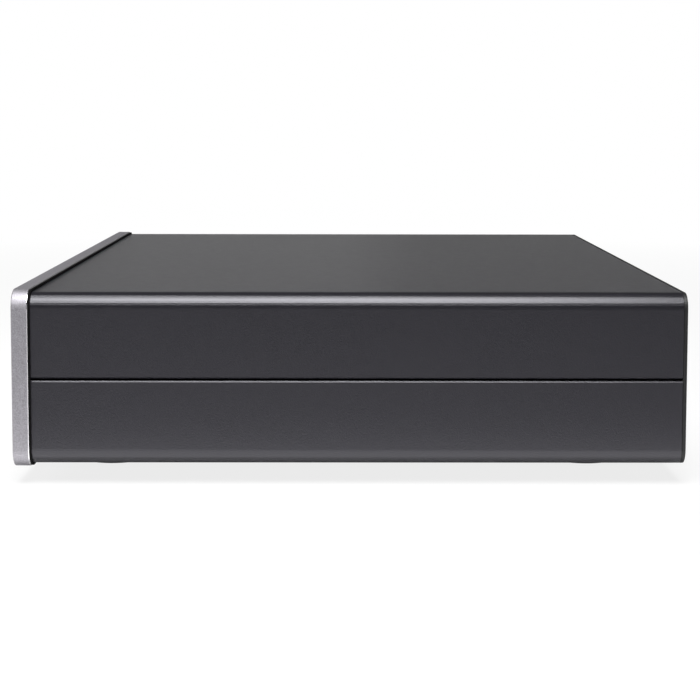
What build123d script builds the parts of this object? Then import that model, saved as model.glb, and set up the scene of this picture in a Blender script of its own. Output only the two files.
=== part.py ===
from build123d import *
import math
import os

os.makedirs("parts", exist_ok=True)

# Network audio player in millimetres: +Z up, the front faces -Y, and the origin lies on the
# table under the middle of the whole object, dial and rear sockets included.

# Every cut runs this far past the face that it opens
overrun = 1.0

# Case: two U-shaped extrusions that meet at half height
case_width = 427.0
case_height = 84.0
shell_length = 316.0
wall = 3.0
corner_radius = 8.0
seam_gap = 1.0
seam_edge = 0.7
lip_thickness = 1.3
lip_height = 5.0
lap_clearance = 0.2

# Screw channels that run the length of each extrusion
channel_radius = 3.8
channel_bore_radius = 1.6
channel_slot = 1.6
channel_merge = 0.4
mid_channel_share = 0.18

# Front plate, the dark plate behind it and the rear panel
plate_overhang = 1.5
plate_thickness = 8.0
plate_front_edge = 0.6
plate_back_edge = 0.4
subpanel_thickness = 1.0
subpanel_inset = 0.3
rear_panel_thickness = 2.0
rear_panel_edge = 0.4

# Feet: a turned ring with a rubber pad let into its underside
foot_height = 10.0
foot_radius = 20.0
foot_side_inset = 71.5
foot_end_inset = 41.0
foot_edge = 1.2
foot_taper = 1.5
foot_web = 3.5
pad_radius = 15.5
pad_fit = 0.15
pad_bore_radius = 6.0
pad_edge = 0.6

# Screws
screw_fit = 0.05
hole_clearance = 0.3
tap_screw_length = 12.0
tap_head_radius = 3.1
tap_head_height = 2.2
head_room = 0.4
machine_radius = 1.5
machine_length = 5.4
machine_head_radius = 2.75
machine_head_height = 2.0
socket_radius = 1.1
socket_depth = 1.2
plate_screw_rise = 30.0
plate_screw_x_shares = (-0.455, 0.1, 0.455)
pin_length = 11.0

# Display window and display
window_x_share = -0.13
window_width = 150.0
window_height = 46.0
window_radius = 3.0
window_thickness = 2.5
window_recess = 0.2
window_fit = 0.15
window_ledge = 3.0
display_width = 136.0
display_height = 36.0
display_radius = 1.0

# Push buttons: cap, retaining flange and stem in one moulding
standby_x_share = -0.43
standby_radius = 6.5
button_block_x_share = 0.375
button_pitch = 26.0
button_radius = 5.5
button_fit = 0.2
button_proud = 0.9
button_edge = 0.4
button_travel = 0.8
travel_slack = 0.2
flange_step = 1.6
flange_thickness = 1.2
flange_fit = 0.4
stem_radius = 1.75
stem_fit = 0.3
stem_reach = 1.5
switch_size = 6.2
switch_height = 4.0
switch_base = 1.0
status_light_radius = 1.2
status_light_fit = 0.05
status_light_gap = 4.0

# Control board behind the front plate
control_board_width = 390.0
control_board_height = 56.0
board_thickness = 1.6
control_post_inset = 8.0
post_radius = 2.6
post_bottom = 3.0

# Push encoder
dial_x_share = 0.205
encoder_size = 12.0
encoder_depth = 6.5
encoder_fit = 0.5
encoder_web = 3.0
encoder_back_wall = 1.0
bush_radius = 3.5
bush_fit = 0.1
bush_length = 7.5
nut_flats_radius = 5.0
nut_thickness = 2.0
nut_recess_radius = 8.5
shaft_radius = 3.0
shaft_clearance = 0.05
shaft_flat = 0.6
plunger_length = 1.5
push_travel = 0.6
push_slack = 0.2

# Dial: a turned cup with a fluted rim, a hub and a finger dimple
dial_projection = 16.0
dial_radius = 23.0
dial_gap = 1.2
dial_wall = 3.5
dial_face = 4.0
dial_edge = 1.2
dial_dish_radius = 19.5
dial_dish_depth = 0.7
hub_radius = 6.5
flute_count = 60
flute_radius = 0.6
flute_length = 9.5
dimple_radius = 7.0
dimple_reach = 12.5
dimple_depth = 1.6
grub_radius = 1.5
grub_fit = 0.05
grub_setback = 4.0
grub_sink = 0.4
grub_socket_radius = 0.75

# Mains inlet with a fuse drawer
inlet_x_share = -0.386
inlet_flange_width = 50.0
inlet_flange_height = 31.0
inlet_flange_thickness = 2.5
inlet_flange_radius = 5.0
inlet_body_width = 27.4
inlet_body_height = 27.6
inlet_body_radius = 2.0
inlet_depth = 22.0
inlet_fit = 0.2
inlet_screw_pitch = 40.0
inlet_screw_length = 7.0
inlet_mouth_width = 24.0
inlet_mouth_height = 16.2
inlet_mouth_bevel = 4.5
inlet_mouth_rise = 4.4
inlet_mouth_depth = 17.0
blade_width = 2.0
blade_height = 4.0
blade_pitch = 14.0
blade_drop = 2.0
blade_length = 11.5
blade_tail = 7.0
blade_fit = 0.05
drawer_width = 22.0
drawer_height = 6.8
drawer_depth = 13.0
drawer_drop = 9.2
drawer_fit = 0.15
drawer_lip_width = 23.4
drawer_lip_height = 7.6
drawer_lip_thickness = 1.2
drawer_tab_width = 8.0
drawer_tab_depth = 1.4
drawer_tab_height = 1.6
drawer_floor = 0.7
drawer_end_wall = 2.4
fuse_length = 19.6
fuse_radius = 2.6
fuse_glass_radius = 2.4
fuse_cap = 5.0
fuse_fit = 0.15

# Rocker power switch
rocker_x_share = -0.27
bezel_width = 15.0
bezel_height = 21.0
bezel_thickness = 1.6
bezel_radius = 1.5
switch_body_width = 12.8
switch_body_height = 19.0
switch_body_depth = 17.0
switch_well_width = 9.6
switch_well_height = 16.4
switch_well_depth = 9.0
rocker_width = 9.0
rocker_length = 14.4
rocker_rise = 2.4
rocker_shoulder = 1.4
rocker_keel = 4.2
rocker_keel_length = 5.0
rocker_pivot_depth = 1.6
rocker_tilt = 8.0
axle_radius = 1.1
axle_reach = 1.2
axle_fit = 0.08
terminal_width = 0.8
terminal_height = 4.8
terminal_length = 7.0
terminal_depth = 2.0
terminal_x_offset = 3.5
terminal_rise = 5.0

# Round phono sockets
phono_x_shares = (0.29, 0.235, 0.155)
phono_rise = 24.0
jack_projection = 10.5
phono_radius = 4.15
phono_bore_radius = 3.3
phono_bore_depth = 9.0
phono_flange_radius = 5.8
phono_flange_thickness = 1.4
phono_shank_radius = 3.9
phono_shank_length = 9.0
phono_edge = 0.5
collar_radius = 7.2
collar_thickness = 1.5
collar_shoulder = 0.6
collar_fit = 0.05
phono_plug_recess = 0.5
phono_contact_radius = 1.65
phono_contact_depth = 7.0
phono_nut_flats_radius = 6.0
phono_nut_thickness = 2.5

# Sockets that stand on the main board
socket_fit = 0.3
socket_proud = 0.5
optical_x_share = 0.085
optical_width = 10.0
optical_height = 10.4
optical_depth = 13.5
optical_mouth = 7.2
optical_mouth_depth = 10.0
shutter_width = 6.6
shutter_drop = 5.9
shutter_head = 0.45
shutter_thickness = 0.8
shutter_setback = 1.0
shutter_axle_radius = 0.35
shutter_axle_reach = 0.8
shutter_axle_drop = 0.75
shutter_axle_fit = 0.05
ethernet_x_share = 0.015
ethernet_width = 16.0
ethernet_height = 13.5
ethernet_depth = 21.0
ethernet_mouth_width = 12.0
ethernet_mouth_height = 7.2
ethernet_mouth_depth = 15.0
ethernet_mouth_drop = 3.0
ethernet_latch_width = 6.4
ethernet_latch_height = 2.0
contact_count = 8
contact_pitch = 1.02
contact_width = 0.5
contact_height = 0.7
contact_length = 8.0
contact_setback = 4.0
usb_x_shares = (-0.055, -0.1)
usb_width = 13.2
usb_height = 5.8
usb_depth = 15.0
usb_radius = 0.6
usb_sheet = 0.4
usb_back = 2.5
usb_tongue_width = 11.2
usb_tongue_height = 1.8
usb_tongue_drop = 0.7
usb_tongue_length = 9.5

# Boards on posts
post_clearance = 1.0
post_stud_radius = 1.5
post_stud_length = 2.0
board_post_inset = 7.0
main_board_left_share = -0.14
main_board_side_gap = 20.6
main_board_length = 150.0
main_board_gap = 0.5
boards_gap = 25.0
supply_board_side_gap = 10.4
supply_board_front_gap = 6.0
supply_board_rear_gap = 45.0

# What stands on the boards
module_x_share = 0.1
module_y_share = -0.05
module_width = 52.0
module_length = 38.0
module_height = 6.0
module_radius = 2.0
chip_x_shares = (0.26, 0.26, 0.34)
chip_y_shares = (0.12, -0.14, -0.01)
chip_size = 12.0
chip_height = 1.6
capacitor_radius = 12.0
capacitor_height = 40.0
capacitor_edge = 1.5
capacitor_pitch = 26.0
capacitor_inset = 23.0
terminal_block_pitch = 7.0
terminal_block_ways = 3
terminal_block_depth = 9.0
terminal_block_height = 10.0
terminal_block_setback = 8.0
ribbon_x_share = 0.0
ribbon_width = 24.0
ribbon_thickness = 0.8
ribbon_bend = 6.0
ribbon_socket_length = 30.0
ribbon_socket_depth = 5.0
ribbon_socket_height = 6.0
ribbon_socket_setback = 9.0
ribbon_rise = 9.0

# Potted toroidal transformer
transformer_side_gap = 8.4
transformer_setback = 88.0
transformer_radius = 48.0
transformer_height = 42.0
transformer_edge = 6.0
transformer_bore_radius = 4.0
clamp_radius = 26.0
clamp_thickness = 2.0
bolt_radius = 3.0
bolt_head_flats_radius = 5.0
bolt_head_height = 4.0
bolt_grip = 2.0

# Mains leads
lead_radius = 1.2
lead_bend = 5.0
neutral_lane = 7.0
live_lane = 14.0
earth_lane = 22.0
lead_start = 8.0

# Levels and depths that several pieces share
mid_z = foot_height + case_height / 2
floor_z = foot_height + wall
inner_width = case_width - 2 * wall
inner_height = case_height - 2 * wall
plate_width = case_width + 2 * plate_overhang
plate_height = case_height + 2 * plate_overhang
plate_radius = corner_radius + plate_overhang
body_depth = plate_thickness + subpanel_thickness + shell_length + rear_panel_thickness
overall_depth = dial_projection + body_depth + jack_projection
dial_front_y = -overall_depth / 2
plate_front_y = dial_front_y + dial_projection
plate_back_y = plate_front_y + plate_thickness
shell_front_y = plate_back_y + subpanel_thickness
shell_rear_y = shell_front_y + shell_length
rear_face_y = shell_rear_y + rear_panel_thickness
control_front_y = plate_back_y + encoder_depth
control_back_y = control_front_y + board_thickness

# Screw channels: two in the corners and two between them, in each extrusion
channel_offset = channel_radius - channel_merge
corner_channel_x = inner_width / 2 - channel_offset
mid_channel_x = mid_channel_share * case_width
channel_rise = inner_height / 2 - channel_offset
channel_xs = (-corner_channel_x, -mid_channel_x, mid_channel_x, corner_channel_x)
lower_channels = [(x, mid_z - channel_rise) for x in channel_xs]
upper_channels = [(x, mid_z + channel_rise) for x in channel_xs]
tap_screw_radius = channel_bore_radius - screw_fit

# Front layout
window_x = window_x_share * plate_width
standby_x = standby_x_share * plate_width
button_block_x = button_block_x_share * plate_width
dial_x = dial_x_share * plate_width
buttons = {
    "standby_button": (standby_x, mid_z, standby_radius),
    "menu_button": (button_block_x - button_pitch / 2, mid_z + button_pitch / 2, button_radius),
    "play_button": (button_block_x + button_pitch / 2, mid_z + button_pitch / 2, button_radius),
    "previous_button": (button_block_x - button_pitch / 2, mid_z - button_pitch / 2, button_radius),
    "next_button": (button_block_x + button_pitch / 2, mid_z - button_pitch / 2, button_radius),
}
button_pocket_depth = flange_thickness + button_travel + travel_slack
status_light_z = mid_z + standby_radius + flange_step + flange_fit + status_light_gap
window_pocket_depth = window_thickness + window_recess
plate_screw_places = [
    (share * plate_width, mid_z + side * plate_screw_rise)
    for share in plate_screw_x_shares
    for side in (-1, 1)
]
control_post_x = control_board_width / 2 - control_post_inset
control_post_z = control_board_height / 2 - control_post_inset
control_post_places = [
    (x_side * control_post_x, mid_z + z_side * control_post_z) for x_side in (-1, 1) for z_side in (-1, 1)
]

# Encoder, from the board forward
bush_front_y = plate_back_y - bush_length
encoder_bore_radius = shaft_radius + shaft_clearance
encoder_bore_end_y = control_front_y - encoder_back_wall
plunger_back_y = encoder_bore_end_y - push_travel - push_slack
plunger_front_y = plunger_back_y - plunger_length
dial_back_y = plate_front_y - dial_gap
shaft_front_y = dial_front_y + dial_face
nut_seat_y = plate_back_y - encoder_web

# Rear layout
inlet_x = inlet_x_share * case_width
inlet_mouth_z = mid_z + inlet_mouth_rise
inlet_back_y = rear_face_y - inlet_depth
inlet_face_y = rear_face_y + inlet_flange_thickness
inlet_mouth_end_y = inlet_face_y - inlet_mouth_depth
drawer_z = mid_z - drawer_drop
blade_z = inlet_mouth_z - blade_drop
blades = [(inlet_x - blade_pitch / 2, blade_z), (inlet_x, blade_z + blade_height)]
blades.append((inlet_x + blade_pitch / 2, blade_z))
rocker_x = rocker_x_share * case_width
bezel_face_y = rear_face_y + bezel_thickness
rocker_pivot_y = rear_face_y + bezel_thickness - rocker_pivot_depth
switch_back_y = rear_face_y - switch_body_depth
rocker_terminals = [
    (rocker_x + x_side * terminal_x_offset, mid_z + z_side * terminal_rise)
    for x_side in (-1, 1)
    for z_side in (-1, 1)
]

# Boards and transformer
post_height = channel_offset + channel_radius + post_clearance
board_bottom_z = floor_z + post_height
board_top_z = board_bottom_z + board_thickness
main_board_left_x = main_board_left_share * case_width
main_board_right_x = inner_width / 2 - main_board_side_gap
main_board_width = main_board_right_x - main_board_left_x
main_board_x = (main_board_left_x + main_board_right_x) / 2
main_board_rear_y = shell_rear_y - main_board_gap
main_board_front_y = main_board_rear_y - main_board_length
main_board_y = (main_board_front_y + main_board_rear_y) / 2
transformer_x = transformer_side_gap + transformer_radius - inner_width / 2
transformer_y = shell_front_y + transformer_setback
supply_board_left_x = supply_board_side_gap - inner_width / 2
supply_board_right_x = main_board_left_x - boards_gap
supply_board_width = supply_board_right_x - supply_board_left_x
supply_board_x = (supply_board_left_x + supply_board_right_x) / 2
supply_board_front_y = transformer_y + transformer_radius + supply_board_front_gap
supply_board_rear_y = shell_rear_y - supply_board_rear_gap
supply_board_length = supply_board_rear_y - supply_board_front_y
supply_board_y = (supply_board_front_y + supply_board_rear_y) / 2
capacitor_y = supply_board_front_y + capacitor_inset + capacitor_pitch / 2


def corners(x, y, width, length, inset):
    return [
        (x + x_side * (width / 2 - inset), y + y_side * (length / 2 - inset))
        for x_side in (-1, 1)
        for y_side in (-1, 1)
    ]


post_places = corners(main_board_x, main_board_y, main_board_width, main_board_length, board_post_inset)
post_places += corners(
    supply_board_x, supply_board_y, supply_board_width, supply_board_length, board_post_inset
)
phono_z = board_top_z + phono_rise
phono_places = [(share * case_width, phono_z) for share in phono_x_shares]
socket_face_y = rear_face_y + socket_proud
optical_x = optical_x_share * case_width
optical_z = board_top_z + optical_height / 2
ethernet_x = ethernet_x_share * case_width
ethernet_mouth_z = board_top_z + ethernet_height / 2 + ethernet_mouth_height / 2 - ethernet_mouth_drop
usb_places = [(share * case_width, board_top_z + usb_height / 2) for share in usb_x_shares]

# Feet
foot_x = case_width / 2 - foot_side_inset
foot_ys = (plate_front_y + foot_end_inset, rear_face_y - foot_end_inset)
foot_places = [(x_side * foot_x, y) for x_side in (-1, 1) for y in foot_ys]


def section(y):
    # An upright plane at depth y that faces the front: its x is X and its y is Z
    return Plane((0, y, 0), x_dir=(1, 0, 0), z_dir=(0, -1, 0))


def save(piece, name):
    piece.part.label = name
    export_step(piece.part, f"parts/{name}.step")


def screw_channel(x, z, opening):
    # A round channel, split towards the inside as an extrusion needs
    with Locations((x, z)):
        Circle(channel_radius)
        Circle(channel_bore_radius, mode=Mode.SUBTRACT)
        Rectangle(
            channel_radius + overrun,
            channel_slot,
            rotation=opening,
            align=(Align.MIN, Align.CENTER),
            mode=Mode.SUBTRACT,
        )


def half_wall(side):
    # Half of the case wall, the upper for side +1 and the lower for side -1
    with Locations((0, mid_z)):
        RectangleRounded(case_width, case_height, corner_radius)
        RectangleRounded(inner_width, inner_height, corner_radius - wall, mode=Mode.SUBTRACT)
    with Locations((0, mid_z + side * seam_gap / 2)):
        Rectangle(
            case_width + overrun,
            case_height,
            align=(Align.CENTER, Align.MAX if side > 0 else Align.MIN),
            mode=Mode.SUBTRACT,
        )
    for x_side in (-1, 1):
        inward = math.degrees(math.atan2(-side, -x_side))
        screw_channel(x_side * corner_channel_x, mid_z + side * channel_rise, inward)
    for x_side in (-1, 1):
        screw_channel(x_side * mid_channel_x, mid_z + side * channel_rise, math.degrees(math.atan2(-side, 0)))


def screw_socket():
    Cylinder(
        socket_radius,
        socket_depth,
        align=(Align.CENTER, Align.CENTER, Align.MAX),
        mode=Mode.SUBTRACT,
    )


def screw(radius, length, head_radius, head_height):
    # A screw seated on the current plane, head outward, with a socket in its head
    Cylinder(radius, length, align=(Align.CENTER, Align.CENTER, Align.MAX))
    Cylinder(head_radius, head_height, align=(Align.CENTER, Align.CENTER, Align.MIN))
    with Locations((0, 0, head_height)):
        screw_socket()


def sunk_screw(radius, length, head_radius):
    # A countersunk screw, flush with the current plane
    Cylinder(radius, length, align=(Align.CENTER, Align.CENTER, Align.MAX))
    Cone(radius, head_radius, head_radius - radius, align=(Align.CENTER, Align.CENTER, Align.MAX))
    screw_socket()


def facing_front(places, y):
    return [Plane((x, y, z), x_dir=(1, 0, 0), z_dir=(0, -1, 0)) for x, z in places]


def facing_rear(places, y):
    return [Plane((x, y, z), x_dir=(-1, 0, 0), z_dir=(0, 1, 0)) for x, z in places]


# Lower extrusion: rebated for the upper one's lip, drilled for the feet and the posts
with BuildPart() as bottom_shell:
    with BuildSketch(section(shell_rear_y)) as lower_profile:
        half_wall(-1)
        seam_points = lower_profile.vertices().group_by(Axis.X)
        chamfer(
            [seam_points[0].sort_by(Axis.Y)[-1], seam_points[-1].sort_by(Axis.Y)[-1]],
            length=seam_edge,
        )
        for x_side in (-1, 1):
            with Locations((x_side * inner_width / 2, mid_z - lip_height)):
                Rectangle(
                    lip_thickness + lap_clearance,
                    lip_height + overrun,
                    align=(Align.MIN if x_side > 0 else Align.MAX, Align.MIN),
                    mode=Mode.SUBTRACT,
                )
    extrude(amount=shell_length)
    with BuildSketch(Plane.XY.offset(foot_height)):
        with Locations(*foot_places):
            Circle(machine_radius + screw_fit)
    extrude(amount=wall, mode=Mode.SUBTRACT)
    with BuildSketch(Plane.XY.offset(floor_z)):
        with Locations(*post_places):
            Circle(post_stud_radius + screw_fit)
        with Locations((transformer_x, transformer_y)):
            Circle(bolt_radius + screw_fit)
    extrude(amount=-(post_stud_length + screw_fit), mode=Mode.SUBTRACT)
save(bottom_shell, "bottom_shell")

# Upper extrusion: its lip stands inside the lower one
with BuildPart() as top_shell:
    with BuildSketch(section(shell_rear_y)) as upper_profile:
        half_wall(1)
        seam_points = upper_profile.vertices().group_by(Axis.X)
        chamfer(
            [seam_points[0].sort_by(Axis.Y)[0], seam_points[-1].sort_by(Axis.Y)[0]],
            length=seam_edge,
        )
        for x_side in (-1, 1):
            with Locations((x_side * inner_width / 2, mid_z - lip_height)):
                Rectangle(
                    lip_thickness,
                    lip_height + seam_gap + wall,
                    align=(Align.MIN if x_side > 0 else Align.MAX, Align.MIN),
                )
    extrude(amount=shell_length)
save(top_shell, "top_shell")

# Machined front plate
with BuildPart() as front_plate:
    with BuildSketch(section(plate_back_y)):
        with Locations((0, mid_z)):
            RectangleRounded(plate_width, plate_height, plate_radius)
    extrude(amount=plate_thickness)
    fillet(front_plate.faces().sort_by(Axis.Y)[0].edges(), radius=plate_front_edge)
    chamfer(front_plate.faces().sort_by(Axis.Y)[-1].edges(), length=plate_back_edge)
    with BuildSketch(section(plate_front_y)):
        with Locations((window_x, mid_z)):
            RectangleRounded(window_width, window_height, window_radius)
    extrude(amount=-window_pocket_depth, mode=Mode.SUBTRACT)
    with BuildSketch(section(plate_front_y)):
        with Locations((dial_x, mid_z)):
            Circle(nut_recess_radius)
    extrude(amount=-(plate_thickness - encoder_web), mode=Mode.SUBTRACT)
    with BuildSketch(section(plate_front_y)):
        with Locations((window_x, mid_z)):
            Rectangle(window_width - 2 * window_ledge, window_height - 2 * window_ledge)
        with Locations((dial_x, mid_z)):
            Circle(bush_radius + bush_fit)
        with Locations((standby_x, status_light_z)):
            Circle(status_light_radius + status_light_fit)
        for x, z, radius in buttons.values():
            with Locations((x, z)):
                Circle(radius + button_fit)
    extrude(amount=-plate_thickness, mode=Mode.SUBTRACT)
    with BuildSketch(section(plate_back_y)):
        for x, z, radius in buttons.values():
            with Locations((x, z)):
                Circle(radius + flange_step + flange_fit)
    extrude(amount=button_pocket_depth, mode=Mode.SUBTRACT)
    with BuildSketch(section(plate_back_y)):
        with Locations(*lower_channels):
            Circle(tap_head_radius + head_room)
    extrude(amount=tap_head_height + head_room, mode=Mode.SUBTRACT)
    with BuildSketch(section(plate_back_y)):
        with Locations(*plate_screw_places):
            Circle(machine_radius + screw_fit)
    extrude(amount=machine_length - subpanel_thickness + screw_fit, mode=Mode.SUBTRACT)
save(front_plate, "front_plate")

# Dark steel plate that carries the front plate and shows as the shadow line behind it
with BuildPart() as front_subpanel:
    with BuildSketch(section(shell_front_y)):
        with Locations((0, mid_z)):
            RectangleRounded(
                plate_width - 2 * subpanel_inset,
                plate_height - 2 * subpanel_inset,
                plate_radius - subpanel_inset,
            )
        with Locations((window_x, mid_z)):
            Rectangle(
                window_width - 2 * window_ledge,
                window_height - 2 * window_ledge,
                mode=Mode.SUBTRACT,
            )
        with Locations((dial_x, mid_z)):
            Rectangle(encoder_size + 2 * encoder_fit, encoder_size + 2 * encoder_fit, mode=Mode.SUBTRACT)
        with Locations((standby_x, status_light_z)):
            Circle(status_light_radius + stem_fit, mode=Mode.SUBTRACT)
        with Locations(*[(x, z) for x, z, radius in buttons.values()]):
            Circle(stem_radius + stem_fit, mode=Mode.SUBTRACT)
        with Locations(*plate_screw_places):
            Circle(machine_radius + hole_clearance, mode=Mode.SUBTRACT)
        with Locations(*lower_channels):
            Circle(tap_screw_radius + hole_clearance, mode=Mode.SUBTRACT)
        with Locations(upper_channels[0], upper_channels[-1]):
            Circle(tap_screw_radius + screw_fit, mode=Mode.SUBTRACT)
    extrude(amount=subpanel_thickness)
save(front_subpanel, "front_subpanel")

# Rear panel, flush with the extrusions, cut out for the sockets
with BuildPart() as rear_panel:
    with BuildSketch(section(rear_face_y)):
        with Locations((0, mid_z)):
            RectangleRounded(case_width, case_height, corner_radius)
    extrude(amount=rear_panel_thickness)
    chamfer(rear_panel.faces().sort_by(Axis.Y)[0].edges(), length=rear_panel_edge)
    fillet(rear_panel.faces().sort_by(Axis.Y)[-1].edges(), radius=rear_panel_edge)
    with Locations(*facing_rear(lower_channels + upper_channels, rear_face_y)):
        CounterSinkHole(
            tap_screw_radius + screw_fit,
            tap_head_radius + screw_fit,
            depth=rear_panel_thickness,
            counter_sink_angle=90,
        )
    with BuildSketch(section(rear_face_y)):
        with Locations((inlet_x, mid_z)):
            Rectangle(inlet_body_width + 2 * inlet_fit, inlet_body_height + 2 * inlet_fit)
        with Locations((inlet_x, mid_z)):
            with GridLocations(inlet_screw_pitch, 0, 2, 1):
                Circle(machine_radius + screw_fit)
        with Locations((rocker_x, mid_z)):
            Rectangle(switch_body_width + 2 * inlet_fit, switch_body_height + 2 * inlet_fit)
        with Locations(*phono_places):
            Circle(phono_shank_radius + collar_shoulder + 2 * collar_fit)
        with Locations((optical_x, optical_z)):
            Rectangle(optical_width + 2 * socket_fit, optical_height + 2 * socket_fit)
        with Locations((ethernet_x, board_top_z + ethernet_height / 2)):
            Rectangle(ethernet_width + 2 * socket_fit, ethernet_height + 2 * socket_fit)
        with Locations(*usb_places):
            RectangleRounded(
                usb_width + 2 * socket_fit, usb_height + 2 * socket_fit, usb_radius + socket_fit
            )
    extrude(amount=rear_panel_thickness, mode=Mode.SUBTRACT)
save(rear_panel, "rear_panel")

# Feet: turned rings, each screwed up into the lower extrusion
pad_recess = foot_height - foot_web
with BuildPart() as feet:
    with BuildSketch(Plane.XZ) as foot_profile:
        with BuildLine():
            Polyline(
                (machine_radius + hole_clearance, foot_height),
                (foot_radius - foot_taper, foot_height),
                (foot_radius, foot_edge),
                (foot_radius - foot_edge, pad_edge),
                (pad_radius + pad_fit, pad_edge),
                (pad_radius + pad_fit, pad_recess),
                (machine_radius + hole_clearance, pad_recess),
                close=True,
            )
        make_face()
    foot_section = foot_profile.sketch
    for x, y in foot_places:
        revolve(foot_section.moved(Location((x, y, 0))), axis=Axis((x, y, 0), (0, 0, 1)))
save(feet, "feet")

with BuildPart() as foot_pads:
    with BuildSketch():
        with Locations(*foot_places):
            Circle(pad_radius)
            Circle(pad_bore_radius, mode=Mode.SUBTRACT)
    extrude(amount=pad_recess)
    chamfer(foot_pads.faces().filter_by(Axis.Z).group_by(Axis.Z)[0].edges(), length=pad_edge)
save(foot_pads, "foot_pads")

with BuildPart() as foot_screws:
    with Locations(*[Plane((x, y, pad_recess), z_dir=(0, 0, -1)) for x, y in foot_places]):
        screw(machine_radius, foot_web + wall, machine_head_radius, machine_head_height)
save(foot_screws, "foot_screws")

# Countersunk screws of the rear panel, screws of the dark plate, front locating pins
with BuildPart() as rear_screws:
    with Locations(*facing_rear(lower_channels + upper_channels, rear_face_y)):
        sunk_screw(tap_screw_radius, tap_screw_length, tap_head_radius)
save(rear_screws, "rear_screws")

with BuildPart() as subpanel_screws:
    with Locations(*facing_front(lower_channels, plate_back_y)):
        screw(tap_screw_radius, tap_screw_length, tap_head_radius, tap_head_height)
save(subpanel_screws, "subpanel_screws")

with BuildPart() as locating_pins:
    with Locations(*facing_front([upper_channels[0], upper_channels[-1]], plate_back_y)):
        Cylinder(tap_screw_radius, pin_length, align=(Align.CENTER, Align.CENTER, Align.MAX))
save(locating_pins, "locating_pins")

# Smoked window let into the front plate, and the display behind it
with BuildPart() as display_window:
    with BuildSketch(section(plate_front_y + window_pocket_depth)):
        with Locations((window_x, mid_z)):
            RectangleRounded(
                window_width - 2 * window_fit, window_height - 2 * window_fit, window_radius - window_fit
            )
    extrude(amount=window_thickness)
save(display_window, "display_window")

with BuildPart() as display_module:
    with BuildSketch(section(control_front_y)):
        with Locations((window_x, mid_z)):
            RectangleRounded(display_width, display_height, display_radius)
    extrude(amount=encoder_depth)
save(display_module, "display_module")

# Control board and its posts
with BuildPart() as control_board:
    with BuildSketch(section(control_back_y)):
        with Locations((0, mid_z)):
            Rectangle(control_board_width, control_board_height)
        with Locations(*control_post_places):
            Circle(machine_radius + hole_clearance, mode=Mode.SUBTRACT)
    extrude(amount=board_thickness)
save(control_board, "control_board")

with BuildPart() as control_posts:
    with BuildSketch(section(control_front_y)):
        with Locations(*control_post_places):
            Circle(post_radius)
            Circle(machine_radius + screw_fit, mode=Mode.SUBTRACT)
    extrude(amount=control_front_y - shell_front_y)
save(control_posts, "control_posts")

# Key switches on the control board, one behind each button
with BuildPart() as key_switches:
    with BuildSketch(section(control_front_y)):
        with Locations(*[(x, z) for x, z, radius in buttons.values()]):
            Rectangle(switch_size, switch_size)
    extrude(amount=switch_height)
    with BuildSketch(section(control_front_y - switch_base)):
        with Locations(*[(x, z) for x, z, radius in buttons.values()]):
            Circle(stem_radius + button_fit)
    extrude(amount=switch_height - switch_base, mode=Mode.SUBTRACT)
save(key_switches, "key_switches")

# Push buttons, each held in by its flange behind the front plate
flange_front_y = plate_back_y - button_pocket_depth
stem_end_y = control_front_y - switch_height + stem_reach
for name, (x, z, radius) in buttons.items():
    with BuildPart() as button:
        with BuildSketch(section(flange_front_y)):
            with Locations((x, z)):
                Circle(radius)
        extrude(amount=plate_thickness - button_pocket_depth + button_proud)
        fillet(button.faces().sort_by(Axis.Y)[0].edges(), radius=button_edge)
        with BuildSketch(section(flange_front_y)):
            with Locations((x, z)):
                Circle(radius + flange_step)
        extrude(amount=-flange_thickness)
        with BuildSketch(section(flange_front_y)):
            with Locations((x, z)):
                Circle(stem_radius)
        extrude(amount=flange_front_y - stem_end_y)
    save(button, name)

# Light pipe from the control board to the front of the plate
with BuildPart() as status_light:
    with BuildSketch(section(control_front_y)):
        with Locations((standby_x, status_light_z)):
            Circle(status_light_radius)
    extrude(amount=control_front_y - plate_front_y)
save(status_light, "status_light")

# Push encoder: body and bush, nut, plunger and shaft
with BuildPart() as encoder_body:
    with BuildSketch(section(control_front_y)):
        with Locations((dial_x, mid_z)):
            Rectangle(encoder_size, encoder_size)
    extrude(amount=encoder_depth)
    with BuildSketch(section(plate_back_y)):
        with Locations((dial_x, mid_z)):
            Circle(bush_radius)
    extrude(amount=bush_length)
    with BuildSketch(section(encoder_bore_end_y)):
        with Locations((dial_x, mid_z)):
            Circle(encoder_bore_radius)
    extrude(amount=encoder_bore_end_y - bush_front_y, mode=Mode.SUBTRACT)
save(encoder_body, "encoder_body")

with BuildPart() as encoder_nut:
    with BuildSketch(section(nut_seat_y)):
        with Locations((dial_x, mid_z)):
            RegularPolygon(nut_flats_radius, 6, major_radius=False)
            Circle(bush_radius + screw_fit, mode=Mode.SUBTRACT)
    extrude(amount=nut_thickness)
save(encoder_nut, "encoder_nut")

with BuildPart() as encoder_plunger:
    with BuildSketch(section(plunger_back_y)):
        with Locations((dial_x, mid_z)):
            Circle(shaft_radius)
    extrude(amount=plunger_length)
save(encoder_plunger, "encoder_plunger")

with BuildPart() as encoder_shaft:
    with BuildSketch(section(plunger_front_y)):
        with Locations((dial_x, mid_z)):
            Circle(shaft_radius)
    extrude(amount=plunger_front_y - shaft_front_y)
    with BuildSketch(section(dial_back_y)):
        with Locations((dial_x, mid_z - shaft_radius + shaft_flat)):
            Rectangle(2 * shaft_radius, shaft_radius, align=(Align.CENTER, Align.MAX))
    extrude(amount=dial_back_y - shaft_front_y, mode=Mode.SUBTRACT)
save(encoder_shaft, "encoder_shaft")

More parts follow.
